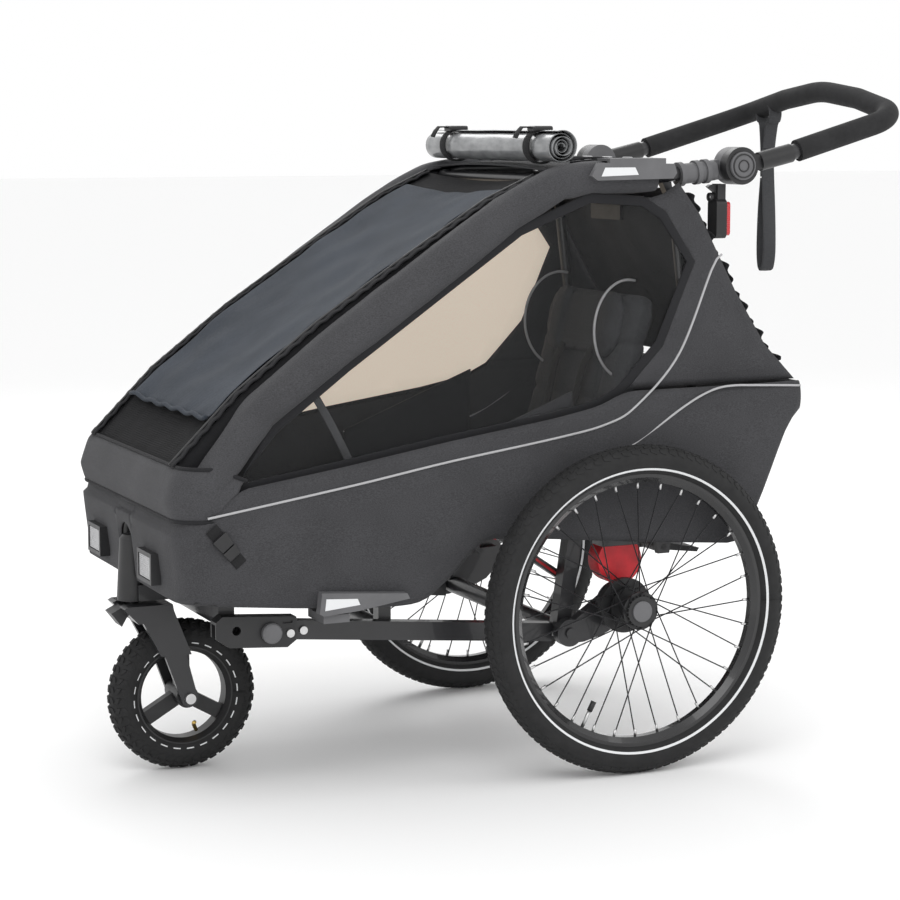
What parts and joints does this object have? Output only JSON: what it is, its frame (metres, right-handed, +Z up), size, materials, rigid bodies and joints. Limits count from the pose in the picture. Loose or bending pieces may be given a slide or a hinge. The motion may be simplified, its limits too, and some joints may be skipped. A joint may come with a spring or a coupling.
{
  "type": "child bicycle trailer",
  "caption": "Child bicycle trailer and stroller with fabric tub, padded roof bow, spoked wheels on sprung arms, caster and folding push handle.",
  "frame": {"origin": "on the ground, at the middle of the length and width", "axes": "+X towards the push handle, -X towards the nose and caster, +Z up, -Y the left side with the drawbar receiver and tail light"},
  "size_m": [1.2518, 0.6648, 1.0421],
  "materials": {
    "frame_black": "satin",
    "black_plastic": "matte",
    "grey_plastic": "matte",
    "tub_fabric": "woven",
    "pad_fabric": "woven",
    "window_mesh": "mesh",
    "cover_fabric": "woven",
    "seat_fabric": "quilted",
    "roll_fabric": "smooth",
    "webbing": "webbing",
    "elastomer": "satin",
    "grip_foam": "matte",
    "tyre_rubber": "matte",
    "rim_black": "gloss",
    "steel": "satin",
    "spoke_black": "gloss",
    "clear_lens": "gloss",
    "red_lens": "gloss"
  },
  "bodies": {
    "chassis": {"side_rails": "frame_black", "frame_tubes": "frame_black", "brace_bars": "frame_black", "elastomer_springs": "elastomer", "stem_bracket": "frame_black", "caster_stem": "black_plastic", "drawbar_receiver": "black_plastic", "receiver_bolts": "steel", "floor_pan": "black_plastic", "nose_shell": "tub_fabric", "tub_sides": "tub_fabric", "tub_rear": "tub_fabric", "upper_sides": "tub_fabric", "side_windows": "window_mesh", "rear_panel": "cover_fabric", "reflector_housings": "black_plastic", "nose_reflectors": "clear_lens", "corner_clips": "black_plastic", "lower_bumpers": "grey_plastic", "seat_pad": "seat_fabric", "seat_deck": "black_plastic"},
    "drawbar_pin": {"drawbar_pin": "grey_plastic"},
    "bow": {"front_bow": "frame_black", "pillar_pads": "pad_fabric", "front_cover": "cover_fabric", "roof_panel": "tub_fabric", "roof_roll": "roll_fabric", "roof_bumpers": "grey_plastic", "hinge_sockets": "grey_plastic", "light_clamp": "black_plastic"},
    "tail_light": {"tail_light": "black_plastic", "tail_lens": "red_lens"},
    "fold_lever": {"fold_lever": "black_plastic"},
    "rear_legs": {"rear_legs": "frame_black"},
    "seat_back": {"seat_back": "seat_fabric", "headrest": "seat_fabric"},
    "handle": {"handle_bar": "frame_black", "handle_grip": "grip_foam", "handle_hubs": "black_plastic", "wrist_strap": "webbing"},
    "hinge_button_left": {"hinge_button_left": "grey_plastic"},
    "hinge_button_right": {"hinge_button_right": "grey_plastic"},
    "caster_fork": {"caster_fork": "frame_black", "caster_axle": "steel"},
    "swivel_lock": {"swivel_lock": "black_plastic"},
    "caster_wheel": {"caster_tyre": "tyre_rubber", "caster_rim": "black_plastic"},
    "brake_pedal": {"brake_pedal": "black_plastic"},
    "swing_left": {"swing_arm_left": "frame_black"},
    "wheel_left": {"rear_tyre_left": "tyre_rubber", "rear_rim_left": "rim_black", "rear_spokes_left": "spoke_black", "rear_hub_left": "black_plastic"},
    "release_button_left": {"release_button_left": "grey_plastic"},
    "swing_right": {"swing_arm_right": "frame_black"},
    "wheel_right": {"rear_tyre_right": "tyre_rubber", "rear_rim_right": "rim_black", "rear_spokes_right": "spoke_black", "rear_hub_right": "black_plastic"},
    "release_button_right": {"release_button_right": "grey_plastic"}
  },
  "joints": [
    {"name": "bow_fold", "type": "hinge", "parent": "chassis", "child": "bow", "pos_m": [-0.56251, 0, 0.43681], "axis": [0, 1, 0], "range_deg": [0, 30], "deforming": ["upper_sides", "side_windows", "rear_panel", "tub_sides", "tub_rear"]},
    {"name": "legs_fold", "type": "hinge", "parent": "chassis", "child": "rear_legs", "pos_m": [0.2849, 0, 0.357], "axis": [0, -1, 0], "range_deg": [0, 77.4]},
    {"name": "seat_back_fold", "type": "hinge", "parent": "chassis", "child": "seat_back", "pos_m": [0.1239, 0, 0.437], "axis": [0, -1, 0], "range_deg": [0, 99.9]},
    {"name": "handle_tilt", "type": "hinge", "parent": "bow", "child": "handle", "pos_m": [0.3109, 0, 0.9095], "axis": [0, -1, 0], "range_deg": [-45, 128], "deforming": ["wrist_strap"]},
    {"name": "hinge_button_left_press", "type": "slide", "parent": "handle", "child": "hinge_button_left", "axis": [0, 1, 0], "range_m": [0, 0.004], "stiffness_N_per_m": 800},
    {"name": "hinge_button_right_press", "type": "slide", "parent": "handle", "child": "hinge_button_right", "axis": [0, -1, 0], "range_m": [0, 0.004], "stiffness_N_per_m": 800},
    {"name": "tail_light_tilt", "type": "hinge", "parent": "bow", "child": "tail_light", "pos_m": [0.2879, -0.22, 0.876], "axis": [0, -1, 0], "range_deg": [-5, 25]},
    {"name": "fold_lever_pull", "type": "hinge", "parent": "bow", "child": "fold_lever", "pos_m": [0.2114, 0, 0.856], "axis": [0, 1, 0], "range_deg": [0, 25], "stiffness_Nm_per_rad": 1.5, "springref_deg": -11.46},
    {"name": "drawbar_pin_pull", "type": "slide", "parent": "chassis", "child": "drawbar_pin", "axis": [0, -1, 0], "range_m": [0, 0.01], "stiffness_N_per_m": 800},
    {"name": "caster_swivel", "type": "hinge", "parent": "chassis", "child": "caster_fork", "pos_m": [-0.5841, 0, 0.262], "axis": [0, 0, 1], "continuous": true},
    {"name": "swivel_lock_press", "type": "hinge", "parent": "caster_fork", "child": "swivel_lock", "pos_m": [-0.5991, 0, 0.252], "axis": [0, -1, 0], "range_deg": [0, 14]},
    {"name": "caster_spin", "type": "hinge", "parent": "caster_fork", "child": "caster_wheel", "pos_m": [-0.5108, 0, 0.1152], "axis": [0, 1, 0], "continuous": true},
    {"name": "brake_pedal_press", "type": "hinge", "parent": "chassis", "child": "brake_pedal", "pos_m": [0.2079, -0.17, 0.32212], "axis": [0, 1, 0], "range_deg": [0, 20]},
    {"name": "swing_left_travel", "type": "hinge", "parent": "chassis", "child": "swing_left", "pos_m": [0.0302, -0.222, 0.207], "axis": [0, -1, 0], "range_deg": [-2, 6], "stiffness_Nm_per_rad": 1500},
    {"name": "wheel_left_spin", "type": "hinge", "parent": "swing_left", "child": "wheel_left", "pos_m": [0.1062, -0.309, 0.25], "axis": [0, 1, 0], "continuous": true},
    {"name": "release_button_left_press", "type": "slide", "parent": "wheel_left", "child": "release_button_left", "axis": [0, 1, 0], "range_m": [0, 0.003], "stiffness_N_per_m": 800},
    {"name": "swing_right_travel", "type": "hinge", "parent": "chassis", "child": "swing_right", "pos_m": [0.0302, 0.222, 0.207], "axis": [0, -1, 0], "range_deg": [-2, 6], "stiffness_Nm_per_rad": 1500},
    {"name": "wheel_right_spin", "type": "hinge", "parent": "swing_right", "child": "wheel_right", "pos_m": [0.1062, 0.309, 0.25], "axis": [0, 1, 0], "continuous": true},
    {"name": "release_button_right_press", "type": "slide", "parent": "wheel_right", "child": "release_button_right", "axis": [0, -1, 0], "range_m": [0, 0.003], "stiffness_N_per_m": 800}
  ],
  "couplings": [
    {"joint": "legs_fold", "follows": "bow_fold", "ratio": 2.58},
    {"joint": "seat_back_fold", "follows": "bow_fold", "ratio": 3.33}
  ]
}
